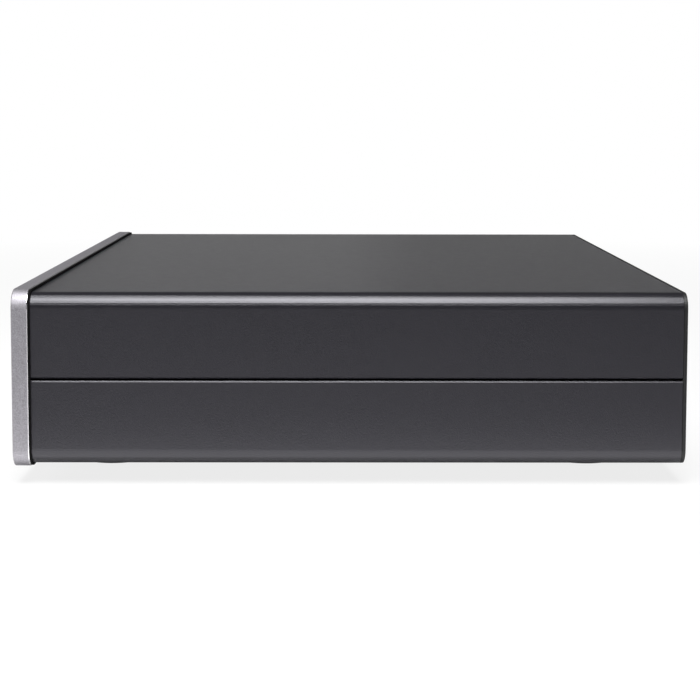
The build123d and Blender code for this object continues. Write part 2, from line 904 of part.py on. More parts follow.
# Dial: one turned profile, then the flutes, the finger dimple and the grub screw's hole
dial_plane = Plane((dial_x, plate_front_y, mid_z), x_dir=(1, 0, 0), z_dir=(0, 0, 1))
dial_axis = Axis((dial_x, plate_front_y, mid_z), (0, 1, 0))
dial_bore_radius = shaft_radius + shaft_clearance
grub_y = dial_back_y - grub_setback
with BuildPart() as control_dial:
    with BuildSketch(dial_plane):
        with BuildLine():
            dish = ThreePointArc(
                (0, dial_dish_depth - dial_projection),
                (dial_dish_radius / 2, dial_dish_depth * 3 / 4 - dial_projection),
                (dial_dish_radius, -dial_projection),
            )
            Polyline(
                dish @ 1,
                (dial_radius - dial_edge, -dial_projection),
                (dial_radius, dial_edge - dial_projection),
                (dial_radius, -dial_gap),
                (dial_radius - dial_wall, -dial_gap),
                (dial_radius - dial_wall, dial_face - dial_projection),
                (hub_radius, dial_face - dial_projection),
                (hub_radius, -dial_gap),
                (dial_bore_radius, -dial_gap),
                (dial_bore_radius, dial_face - dial_projection),
                (0, dial_face - dial_projection),
                dish @ 0,
            )
        make_face()
    revolve(axis=dial_axis)
    with BuildSketch(section(dial_back_y)):
        with Locations((dial_x, mid_z)):
            with PolarLocations(dial_radius, flute_count):
                Circle(flute_radius)
    extrude(amount=flute_length, mode=Mode.SUBTRACT)
    with Locations((dial_x, dial_front_y + dimple_depth - dimple_radius, mid_z + dimple_reach)):
        Sphere(dimple_radius, mode=Mode.SUBTRACT)
    with BuildSketch(Plane.XY.offset(mid_z)):
        with Locations((dial_x, grub_y)):
            Circle(grub_radius + grub_fit)
    extrude(amount=-(dial_radius + overrun), mode=Mode.SUBTRACT)
save(control_dial, "control_dial")

grub_top_z = mid_z - shaft_radius + shaft_flat
grub_bottom_z = mid_z - hub_radius + grub_sink
with BuildPart() as dial_grub_screw:
    with BuildSketch(Plane.XY.offset(grub_bottom_z)):
        with Locations((dial_x, grub_y)):
            Circle(grub_radius)
    extrude(amount=grub_top_z - grub_bottom_z)
    with BuildSketch(Plane.XY.offset(grub_bottom_z)):
        with Locations((dial_x, grub_y)):
            RegularPolygon(grub_socket_radius, 6)
    extrude(amount=socket_depth, mode=Mode.SUBTRACT)
save(dial_grub_screw, "dial_grub_screw")

# Mains inlet: flange, body, bevelled mouth, slot for the fuse drawer
with BuildPart() as mains_inlet:
    with BuildSketch(section(inlet_face_y)):
        with Locations((inlet_x, mid_z)):
            RectangleRounded(inlet_flange_width, inlet_flange_height, inlet_flange_radius)
    extrude(amount=inlet_flange_thickness)
    chamfer(mains_inlet.faces().sort_by(Axis.Y)[-1].edges(), length=rear_panel_edge)
    with BuildSketch(section(rear_face_y)):
        with Locations((inlet_x, mid_z)):
            RectangleRounded(inlet_body_width, inlet_body_height, inlet_body_radius)
    extrude(amount=inlet_depth)
    with BuildSketch(section(inlet_face_y)) as mouth_profile:
        with Locations((inlet_x, inlet_mouth_z)):
            Rectangle(inlet_mouth_width, inlet_mouth_height)
        chamfer(mouth_profile.vertices().group_by(Axis.Y)[-1], length=inlet_mouth_bevel)
    extrude(amount=inlet_mouth_depth, mode=Mode.SUBTRACT)
    with BuildSketch(section(inlet_face_y)):
        with Locations((inlet_x, drawer_z)):
            Rectangle(drawer_width + 2 * drawer_fit, drawer_height + 2 * drawer_fit)
    extrude(amount=inlet_flange_thickness + drawer_depth + drawer_fit, mode=Mode.SUBTRACT)
    with BuildSketch(section(inlet_mouth_end_y)):
        with Locations(*blades):
            Rectangle(blade_width + 2 * blade_fit, blade_height + 2 * blade_fit)
    extrude(amount=inlet_mouth_end_y - inlet_back_y, mode=Mode.SUBTRACT)
    with Locations(*facing_rear([(inlet_x, mid_z)], inlet_face_y)):
        with GridLocations(inlet_screw_pitch, 0, 2, 1):
            CounterSinkHole(
                machine_radius + screw_fit,
                machine_head_radius + screw_fit,
                depth=inlet_flange_thickness,
                counter_sink_angle=90,
            )
save(mains_inlet, "mains_inlet")

with BuildPart() as mains_blades:
    with BuildSketch(section(inlet_mouth_end_y + blade_length)):
        with Locations(*blades):
            Rectangle(blade_width, blade_height)
    extrude(amount=blade_length + inlet_mouth_end_y - inlet_back_y + blade_tail)
save(mains_blades, "mains_blades")

with BuildPart() as inlet_screws:
    with Locations(*facing_rear([(inlet_x, mid_z)], inlet_face_y)):
        with GridLocations(inlet_screw_pitch, 0, 2, 1):
            sunk_screw(machine_radius, inlet_screw_length, machine_head_radius)
save(inlet_screws, "inlet_screws")

# Fuse drawer with a cradle for the fuse, a lip and a finger tab
drawer_end_y = rear_face_y - drawer_depth
cradle_y = rear_face_y - drawer_depth + drawer_end_wall + fuse_radius + fuse_fit
with BuildPart() as fuse_drawer:
    with BuildSketch(section(inlet_face_y)):
        with Locations((inlet_x, drawer_z)):
            Rectangle(drawer_width, drawer_height)
    extrude(amount=inlet_face_y - drawer_end_y)
    with BuildSketch(section(inlet_face_y)):
        with Locations((inlet_x, drawer_z)):
            Rectangle(drawer_lip_width, drawer_lip_height)
    extrude(amount=-drawer_lip_thickness)
    with BuildSketch(section(inlet_face_y + drawer_lip_thickness)):
        with Locations((inlet_x, drawer_z - drawer_lip_height / 2)):
            Rectangle(drawer_tab_width, drawer_tab_height, align=(Align.CENTER, Align.MIN))
    extrude(amount=-drawer_tab_depth)
    with BuildSketch(Plane.XY.offset(drawer_z + drawer_height / 2)):
        with Locations((inlet_x, cradle_y)):
            Rectangle(fuse_length + 2 * fuse_fit, 2 * (fuse_radius + fuse_fit))
    extrude(amount=-(drawer_height - drawer_floor), mode=Mode.SUBTRACT)
save(fuse_drawer, "fuse_drawer")

fuse_z = drawer_z - drawer_height / 2 + drawer_floor + fuse_fit + fuse_radius
fuse_plane = Plane((inlet_x, cradle_y, fuse_z), x_dir=(0, 1, 0), z_dir=(1, 0, 0))
with BuildPart() as fuse:
    with Locations(fuse_plane):
        Cylinder(fuse_glass_radius, fuse_length - fuse_cap)
    for side in (-1, 1):
        with Locations(fuse_plane.offset(side * (fuse_length - fuse_cap) / 2)):
            Cylinder(fuse_radius, fuse_cap)
save(fuse, "fuse")

# Rocker switch: housing with a well, and the rocker on its axle, tilted to its off side
rocker_plane = Plane((rocker_x, rocker_pivot_y, mid_z), x_dir=(0, 1, 0), z_dir=(1, 0, 0))
with BuildPart() as rocker_housing:
    with BuildSketch(section(bezel_face_y)):
        with Locations((rocker_x, mid_z)):
            RectangleRounded(bezel_width, bezel_height, bezel_radius)
    extrude(amount=bezel_thickness)
    chamfer(rocker_housing.faces().sort_by(Axis.Y)[-1].edges(), length=rear_panel_edge)
    with BuildSketch(section(rear_face_y)):
        with Locations((rocker_x, mid_z)):
            Rectangle(switch_body_width, switch_body_height)
    extrude(amount=switch_body_depth)
    with BuildSketch(section(bezel_face_y)):
        with Locations((rocker_x, mid_z)):
            Rectangle(switch_well_width, switch_well_height)
    extrude(amount=switch_well_depth, mode=Mode.SUBTRACT)
    with BuildSketch(rocker_plane):
        Circle(axle_radius + axle_fit)
    extrude(amount=rocker_width / 2 + axle_reach + axle_fit, both=True, mode=Mode.SUBTRACT)
    with BuildSketch(section(switch_back_y + terminal_depth)):
        with Locations(*rocker_terminals):
            Rectangle(terminal_width + 2 * blade_fit, terminal_height + 2 * blade_fit)
    extrude(amount=terminal_depth, mode=Mode.SUBTRACT)
save(rocker_housing, "rocker_housing")

tilt = math.radians(rocker_tilt)
tilted_plane = Plane(
    (rocker_x, rocker_pivot_y, mid_z), x_dir=(0, math.cos(tilt), math.sin(tilt)), z_dir=(1, 0, 0)
)
with BuildPart() as power_rocker:
    with BuildSketch(tilted_plane):
        with BuildLine():
            Polyline(
                (rocker_rise, rocker_length / 2),
                (rocker_rise - rocker_shoulder, 0),
                (rocker_rise, -rocker_length / 2),
                (rocker_rise - rocker_shoulder - axle_radius, -rocker_length / 2),
                (-rocker_keel, -rocker_keel_length / 2),
                (-rocker_keel, rocker_keel_length / 2),
                (rocker_rise - rocker_shoulder - axle_radius, rocker_length / 2),
                close=True,
            )
        make_face()
    extrude(amount=rocker_width / 2, both=True)
    with BuildSketch(rocker_plane):
        Circle(axle_radius)
    extrude(amount=rocker_width / 2 + axle_reach, both=True)
save(power_rocker, "power_rocker")

with BuildPart() as rocker_tabs:
    with BuildSketch(section(switch_back_y + terminal_depth)):
        with Locations(*rocker_terminals):
            Rectangle(terminal_width, terminal_height)
    extrude(amount=terminal_depth + terminal_length)
save(rocker_tabs, "rocker_tabs")

# Phono sockets: barrel, nut, and a coloured collar with the core inside the barrel
collar_face_y = rear_face_y + collar_thickness
phono_end_y = rear_face_y + jack_projection
with BuildPart() as phono_barrels:
    with BuildSketch(section(phono_end_y)):
        with Locations(*phono_places):
            Circle(phono_radius)
    extrude(amount=phono_end_y - collar_face_y)
    chamfer(phono_barrels.faces().filter_by(Axis.Y).group_by(Axis.Y)[-1].edges(), length=phono_edge)
    with BuildSketch(section(collar_face_y + phono_flange_thickness)):
        with Locations(*phono_places):
            Circle(phono_flange_radius)
    extrude(amount=phono_flange_thickness)
    with BuildSketch(section(collar_face_y)):
        with Locations(*phono_places):
            Circle(phono_shank_radius)
    extrude(amount=collar_thickness + phono_shank_length)
    with BuildSketch(section(phono_end_y)):
        with Locations(*phono_places):
            Circle(phono_bore_radius)
    extrude(amount=phono_bore_depth, mode=Mode.SUBTRACT)
save(phono_barrels, "phono_barrels")

phono_nut_seat_y = shell_rear_y - collar_thickness
with BuildPart() as phono_nuts:
    with BuildSketch(section(phono_nut_seat_y)):
        with Locations(*phono_places):
            RegularPolygon(phono_nut_flats_radius, 6, major_radius=False)
            Circle(phono_shank_radius + screw_fit, mode=Mode.SUBTRACT)
    extrude(amount=phono_nut_thickness)
save(phono_nuts, "phono_nuts")

collar_names = ("right_phono_collar", "left_phono_collar", "coaxial_phono_collar")
for name, place in zip(collar_names, phono_places):
    with BuildPart() as collar:
        with BuildSketch(section(collar_face_y)):
            with Locations(place):
                Circle(collar_radius)
        extrude(amount=collar_thickness)
        with BuildSketch(section(rear_face_y)):
            with Locations(place):
                Circle(phono_shank_radius + collar_shoulder + collar_fit)
        extrude(amount=rear_panel_thickness)
        with BuildSketch(section(shell_rear_y)):
            with Locations(place):
                Circle(collar_radius)
        extrude(amount=collar_thickness)
        with BuildSketch(section(collar_face_y)):
            with Locations(place):
                Circle(phono_shank_radius + collar_fit)
        extrude(amount=2 * collar_thickness + rear_panel_thickness, mode=Mode.SUBTRACT)
        with BuildSketch(section(phono_end_y - phono_plug_recess)):
            with Locations(place):
                Circle(phono_bore_radius - collar_fit)
        extrude(amount=phono_bore_depth - phono_plug_recess)
        with BuildSketch(section(phono_end_y - phono_plug_recess)):
            with Locations(place):
                Circle(phono_contact_radius)
        extrude(amount=phono_contact_depth, mode=Mode.SUBTRACT)
    save(collar, name)

# Optical socket with a sprung shutter hung on its axle
shutter_axle_y = socket_face_y - shutter_setback
shutter_axle_z = optical_z + optical_mouth / 2 - shutter_axle_drop
shutter_plane = Plane((optical_x, shutter_axle_y, shutter_axle_z), x_dir=(0, 1, 0), z_dir=(1, 0, 0))
with BuildPart() as optical_socket:
    with BuildSketch(section(socket_face_y)):
        with Locations((optical_x, optical_z)):
            Rectangle(optical_width, optical_height)
    extrude(amount=optical_depth)
    with BuildSketch(section(socket_face_y)):
        with Locations((optical_x, optical_z)):
            Rectangle(optical_mouth, optical_mouth)
    extrude(amount=optical_mouth_depth, mode=Mode.SUBTRACT)
    with BuildSketch(shutter_plane):
        Circle(shutter_axle_radius + shutter_axle_fit)
    extrude(
        amount=shutter_width / 2 + shutter_axle_reach + shutter_axle_fit, both=True, mode=Mode.SUBTRACT
    )
save(optical_socket, "optical_socket")

with BuildPart() as optical_shutter:
    with BuildSketch(shutter_plane):
        with Locations((0, shutter_head)):
            Rectangle(shutter_thickness, shutter_head + shutter_drop, align=(Align.CENTER, Align.MAX))
    extrude(amount=shutter_width / 2, both=True)
    with BuildSketch(shutter_plane):
        Circle(shutter_axle_radius)
    extrude(amount=shutter_width / 2 + shutter_axle_reach, both=True)
save(optical_shutter, "optical_shutter")

# Network socket with its latch channel and contacts
with BuildPart() as ethernet_socket:
    with BuildSketch(section(socket_face_y)):
        with Locations((ethernet_x, board_top_z + ethernet_height / 2)):
            Rectangle(ethernet_width, ethernet_height)
    extrude(amount=ethernet_depth)
    with BuildSketch(section(socket_face_y)):
        with Locations((ethernet_x, ethernet_mouth_z)):
            Rectangle(ethernet_mouth_width, ethernet_mouth_height)
        with Locations((ethernet_x, ethernet_mouth_z - ethernet_mouth_height / 2)):
            Rectangle(ethernet_latch_width, 2 * ethernet_latch_height)
    extrude(amount=ethernet_mouth_depth, mode=Mode.SUBTRACT)
save(ethernet_socket, "ethernet_socket")

with BuildPart() as ethernet_contacts:
    with BuildSketch(section(socket_face_y - contact_setback)):
        with Locations((ethernet_x, ethernet_mouth_z + ethernet_mouth_height / 2)):
            with GridLocations(contact_pitch, 0, contact_count, 1):
                Rectangle(contact_width, contact_height, align=(Align.CENTER, Align.MAX))
    extrude(amount=contact_length)
save(ethernet_contacts, "ethernet_contacts")

# USB sockets: folded sheet shells and the tongues inside them
with BuildPart() as usb_shells:
    with BuildSketch(section(socket_face_y)):
        with Locations(*usb_places):
            RectangleRounded(usb_width, usb_height, usb_radius)
    extrude(amount=usb_depth)
    with BuildSketch(section(socket_face_y)):
        with Locations(*usb_places):
            Rectangle(usb_width - 2 * usb_sheet, usb_height - 2 * usb_sheet)
    extrude(amount=usb_depth - usb_sheet, mode=Mode.SUBTRACT)
save(usb_shells, "usb_shells")

usb_inner_end_y = socket_face_y - usb_depth + usb_sheet
with BuildPart() as usb_tongues:
    with BuildSketch(section(usb_inner_end_y + usb_back)):
        with Locations(*usb_places):
            Rectangle(usb_width - 2 * usb_sheet, usb_height - 2 * usb_sheet)
    extrude(amount=usb_back)
    with BuildSketch(section(usb_inner_end_y + usb_back)):
        with Locations(*[(x, z + usb_height / 2 - usb_sheet - usb_tongue_drop) for x, z in usb_places]):
            Rectangle(usb_tongue_width, usb_tongue_height, align=(Align.CENTER, Align.MAX))
    extrude(amount=-usb_tongue_length)
save(usb_tongues, "usb_tongues")

# Boards, their posts, and the machine screws of the boards and the front plate
with BuildPart() as main_board:
    with BuildSketch(Plane.XY.offset(board_bottom_z)):
        with Locations((main_board_x, main_board_y)):
            Rectangle(main_board_width, main_board_length)
        with Locations(*post_places[:4]):
            Circle(machine_radius + hole_clearance, mode=Mode.SUBTRACT)
    extrude(amount=board_thickness)
save(main_board, "main_board")

with BuildPart() as power_supply_board:
    with BuildSketch(Plane.XY.offset(board_bottom_z)):
        with Locations((supply_board_x, supply_board_y)):
            Rectangle(supply_board_width, supply_board_length)
        with Locations(*post_places[4:]):
            Circle(machine_radius + hole_clearance, mode=Mode.SUBTRACT)
    extrude(amount=board_thickness)
save(power_supply_board, "power_supply_board")

with BuildPart() as board_posts:
    with BuildSketch(Plane.XY.offset(floor_z)):
        with Locations(*post_places):
            Circle(post_radius)
    extrude(amount=post_height)
    with BuildSketch(Plane.XY.offset(floor_z)):
        with Locations(*post_places):
            Circle(post_stud_radius)
    extrude(amount=-post_stud_length)
    with BuildSketch(Plane.XY.offset(floor_z + post_bottom)):
        with Locations(*post_places):
            Circle(machine_radius + screw_fit)
    extrude(amount=post_height - post_bottom, mode=Mode.SUBTRACT)
save(board_posts, "board_posts")

machine_screw_seats = [Plane((x, y, board_top_z)) for x, y in post_places]
machine_screw_seats += facing_rear(control_post_places, control_back_y)
machine_screw_seats += facing_rear(plate_screw_places, shell_front_y)
with BuildPart() as machine_screws:
    with Locations(*machine_screw_seats):
        screw(machine_radius, machine_length, machine_head_radius, machine_head_height)
save(machine_screws, "machine_screws")

# Network module, converter chips and reservoir capacitors
with BuildPart() as network_module:
    with BuildSketch(Plane.XY.offset(board_top_z)):
        with Locations((module_x_share * case_width, main_board_y + module_y_share * main_board_length)):
            RectangleRounded(module_width, module_length, module_radius)
    extrude(amount=module_height)
save(network_module, "network_module")

with BuildPart() as converter_chips:
    with BuildSketch(Plane.XY.offset(board_top_z)):
        for x_share, y_share in zip(chip_x_shares, chip_y_shares):
            with Locations((x_share * case_width, main_board_y + y_share * main_board_length)):
                Rectangle(chip_size, chip_size)
    extrude(amount=chip_height)
save(converter_chips, "converter_chips")

with BuildPart() as capacitors:
    with BuildSketch(Plane.XY.offset(board_top_z)):
        with Locations((supply_board_x, capacitor_y)):
            with GridLocations(capacitor_pitch, capacitor_pitch, 3, 2):
                Circle(capacitor_radius)
    extrude(amount=capacitor_height)
    fillet(capacitors.faces().filter_by(Axis.Z).group_by(Axis.Z)[-1].edges(), radius=capacitor_edge)
save(capacitors, "capacitors")

# Transformer held down by a bolt and a dished washer
with BuildPart() as transformer:
    with BuildSketch(Plane.XY.offset(floor_z)):
        with Locations((transformer_x, transformer_y)):
            Circle(transformer_radius)
            Circle(transformer_bore_radius, mode=Mode.SUBTRACT)
    extrude(amount=transformer_height)
    fillet(
        transformer.edges().filter_by(GeomType.CIRCLE).sort_by(SortBy.RADIUS)[-2:],
        radius=transformer_edge,
    )
save(transformer, "transformer")

clamp_z = floor_z + transformer_height
with BuildPart() as transformer_clamp:
    with BuildSketch(Plane.XY.offset(clamp_z)):
        with Locations((transformer_x, transformer_y)):
            Circle(clamp_radius)
            Circle(bolt_radius + screw_fit, mode=Mode.SUBTRACT)
    extrude(amount=clamp_thickness)
save(transformer_clamp, "transformer_clamp")

with BuildPart() as transformer_bolt:
    with BuildSketch(Plane.XY.offset(clamp_z + clamp_thickness)):
        with Locations((transformer_x, transformer_y)):
            RegularPolygon(bolt_head_flats_radius, 6, major_radius=False)
    extrude(amount=bolt_head_height)
    with BuildSketch(Plane.XY.offset(clamp_z + clamp_thickness)):
        with Locations((transformer_x, transformer_y)):
            Circle(bolt_radius)
    extrude(amount=-(clamp_thickness + transformer_height + bolt_grip))
save(transformer_bolt, "transformer_bolt")

# Board connectors: the mains terminal block and the two ribbon sockets
block_y = supply_board_rear_y - terminal_block_setback
block_top_z = board_top_z + terminal_block_height
block_x = rocker_x + terminal_x_offset
ribbon_x = ribbon_x_share * case_width
ribbon_z = board_top_z + ribbon_socket_height + ribbon_rise
ribbon_end_y = main_board_front_y + ribbon_socket_setback
with BuildPart() as board_connectors:
    with BuildSketch(Plane.XY.offset(board_top_z)):
        with Locations((block_x, block_y)):
            Rectangle(terminal_block_ways * terminal_block_pitch, terminal_block_depth)
    extrude(amount=terminal_block_height)
    with BuildSketch(Plane.XY.offset(board_top_z)):
        with Locations((ribbon_x, ribbon_end_y)):
            Rectangle(ribbon_socket_length, ribbon_socket_depth)
    extrude(amount=ribbon_socket_height)
    with BuildSketch(section(control_back_y)):
        with Locations((ribbon_x, ribbon_z)):
            Rectangle(ribbon_socket_length, ribbon_socket_depth)
    extrude(amount=-ribbon_socket_height)
save(board_connectors, "board_connectors")

# Ribbon cable from the control board to the main board
ribbon_start_y = control_back_y + ribbon_socket_height
with BuildPart() as ribbon_cable:
    with BuildLine() as ribbon_path:
        FilletPolyline(
            (ribbon_x, ribbon_start_y, ribbon_z),
            (ribbon_x, ribbon_end_y, ribbon_z),
            (ribbon_x, ribbon_end_y, board_top_z + ribbon_socket_height),
            radius=ribbon_bend,
        )
    with BuildSketch(section(ribbon_start_y)):
        with Locations((ribbon_x, ribbon_z)):
            Rectangle(ribbon_width, ribbon_thickness)
    sweep(path=ribbon_path.line)
save(ribbon_cable, "ribbon_cable")

# Mains leads: inlet to switch, and switch and earth to the terminal block
blade_end_y = inlet_back_y - blade_tail
tab_end_y = switch_back_y - terminal_length
live_x, live_z = blades[0]
earth_x, earth_z = blades[1]
neutral_x, neutral_z = blades[2]
near_x = rocker_x - terminal_x_offset
far_x = rocker_x + terminal_x_offset
high_z = mid_z + terminal_rise
low_z = mid_z - terminal_rise
block_xs = [block_x - terminal_block_pitch, block_x, block_x + terminal_block_pitch]
lead_routes = [
    [
        (live_x, blade_end_y, live_z),
        (live_x, blade_end_y - live_lane, live_z),
        (near_x, blade_end_y - live_lane, high_z),
        (near_x, tab_end_y, high_z),
    ],
    [
        (neutral_x, blade_end_y, neutral_z),
        (neutral_x, blade_end_y - neutral_lane, neutral_z),
        (near_x, blade_end_y - neutral_lane, low_z),
        (near_x, tab_end_y, low_z),
    ],
    [
        (earth_x, blade_end_y, earth_z),
        (earth_x, blade_end_y - earth_lane, earth_z),
        (block_xs[0], block_y, earth_z),
        (block_xs[0], block_y, block_top_z),
    ],
    [
        (far_x, tab_end_y, low_z),
        (far_x, block_y, low_z),
        (far_x, block_y, block_top_z),
    ],
    [
        (far_x, tab_end_y, high_z),
        (far_x, tab_end_y - lead_start, high_z),
        (block_xs[2], block_y, high_z),
        (block_xs[2], block_y, block_top_z),
    ],
]
with BuildPart() as mains_leads:
    for route in lead_routes:
        with BuildLine() as lead_path:
            FilletPolyline(*route, radius=lead_bend)
        with BuildSketch(Plane(lead_path.line @ 0, z_dir=lead_path.line % 0)):
            Circle(lead_radius)
        sweep(path=lead_path.line)
save(mains_leads, "mains_leads")
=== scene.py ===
import math

import bmesh
import bpy
from mathutils import Matrix, Vector
from mathutils.bvhtree import BVHTree


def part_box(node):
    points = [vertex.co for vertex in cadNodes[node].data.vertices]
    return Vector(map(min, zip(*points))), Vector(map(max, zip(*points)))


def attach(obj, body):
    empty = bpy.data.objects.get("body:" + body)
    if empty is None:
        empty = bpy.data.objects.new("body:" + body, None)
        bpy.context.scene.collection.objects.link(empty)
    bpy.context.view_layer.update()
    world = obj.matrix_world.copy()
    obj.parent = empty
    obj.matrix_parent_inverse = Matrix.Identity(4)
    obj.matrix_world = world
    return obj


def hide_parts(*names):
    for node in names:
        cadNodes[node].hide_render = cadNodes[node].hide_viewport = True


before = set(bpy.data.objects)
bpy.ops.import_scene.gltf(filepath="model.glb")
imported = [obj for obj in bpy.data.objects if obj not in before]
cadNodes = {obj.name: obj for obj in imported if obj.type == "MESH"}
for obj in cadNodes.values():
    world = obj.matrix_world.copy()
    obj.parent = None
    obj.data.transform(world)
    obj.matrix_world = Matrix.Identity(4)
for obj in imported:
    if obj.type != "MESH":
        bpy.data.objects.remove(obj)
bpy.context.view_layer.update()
mm = 0.001
print("frame loaded:", len(cadNodes), "nodes")


def hexColour(code):
    parts = [int(code[i:i + 2], 16) / 255 for i in (1, 3, 5)]
    return [p / 12.92 if p <= 0.04045 else ((p + 0.055) / 1.055) ** 2.4 for p in parts] + [1.0]


def addNode(tree, kind, settings=None, links=None):
    node = tree.nodes.new(kind)
    for key, value in (settings or {}).items():
        if isinstance(key, int) or key in node.inputs:
            node.inputs[key].default_value = value
        else:
            setattr(node, key, value)
    for key, source in (links or {}).items():
        tree.links.new(source, node.inputs[key])
    return node


# One finish: two close shades in soft clouds, a fine grain in the surface and a roughness that wanders
pattern = {"cloudDetail": 3.0, "cloudSpan": (0.3, 0.7), "grainDetail": 2.0,
           "waveRepeat": math.pi / 10}  # how far apart a wave texture's lines are at a scale of 1


def makeFinish(name, finish):
    material = bpy.data.materials.new(name)
    material.use_nodes = True
    tree = material.node_tree
    shader = tree.nodes["Principled BSDF"]
    for key, value in finish["shader"].items():
        shader.inputs[key].default_value = value
    place = addNode(tree, "ShaderNodeTexCoord").outputs["Object"]
    stretch = addNode(tree, "ShaderNodeMapping", {"Scale": finish.get("stretch", (1, 1, 1))}, {"Vector": place})
    clouds = addNode(tree, "ShaderNodeTexNoise", {"Scale": 1 / (finish["cloudMm"] * mm),
                                                  "Detail": pattern["cloudDetail"]}, {"Vector": stretch.outputs[0]})
    shade = addNode(tree, "ShaderNodeMix", {"data_type": "RGBA", 6: hexColour(finish["shades"][0]),
                                            7: hexColour(finish["shades"][1])}, {0: clouds.outputs["Fac"]})
    tree.links.new(shade.outputs[2], shader.inputs["Base Color"])
    (thin, thick), (low, high) = pattern["cloudSpan"], finish["roughness"]
    rough = addNode(tree, "ShaderNodeMapRange", {"From Min": thin, "From Max": thick, "To Min": low, "To Max": high},
                    {"Value": clouds.outputs["Fac"]})
    tree.links.new(rough.outputs[0], shader.inputs["Roughness"])
    grain = addNode(tree, "ShaderNodeTexNoise", {"Scale": 1 / (finish["grainMm"] * mm),
                                                 "Detail": pattern["grainDetail"]}, {"Vector": stretch.outputs[0]})
    relief = addNode(tree, "ShaderNodeBump", {"Distance": finish["grainDepthMm"] * mm, "Strength": 1.0},
                     {"Height": grain.outputs["Fac"]})
    if "rings" in finish:  # lathe lines round an axis along Y
        rings = finish["rings"]
        centred = addNode(tree, "ShaderNodeMapping", {"Location": [-c for c in rings["centre"]]}, {"Vector": place})
        lines = addNode(tree, "ShaderNodeTexWave", {"wave_type": "RINGS", "rings_direction": "Y",
                                                    "Scale": pattern["waveRepeat"] / (rings["lineMm"] * mm),
                                                    "Distortion": 0.0, "Detail": 0.0}, {"Vector": centred.outputs[0]})
        relief = addNode(tree, "ShaderNodeBump", {"Distance": rings["depthMm"] * mm, "Strength": 1.0},
                         {"Height": lines.outputs["Fac"], "Normal": relief.outputs[0]})
    tree.links.new(relief.outputs[0], shader.inputs["Normal"])
    return material


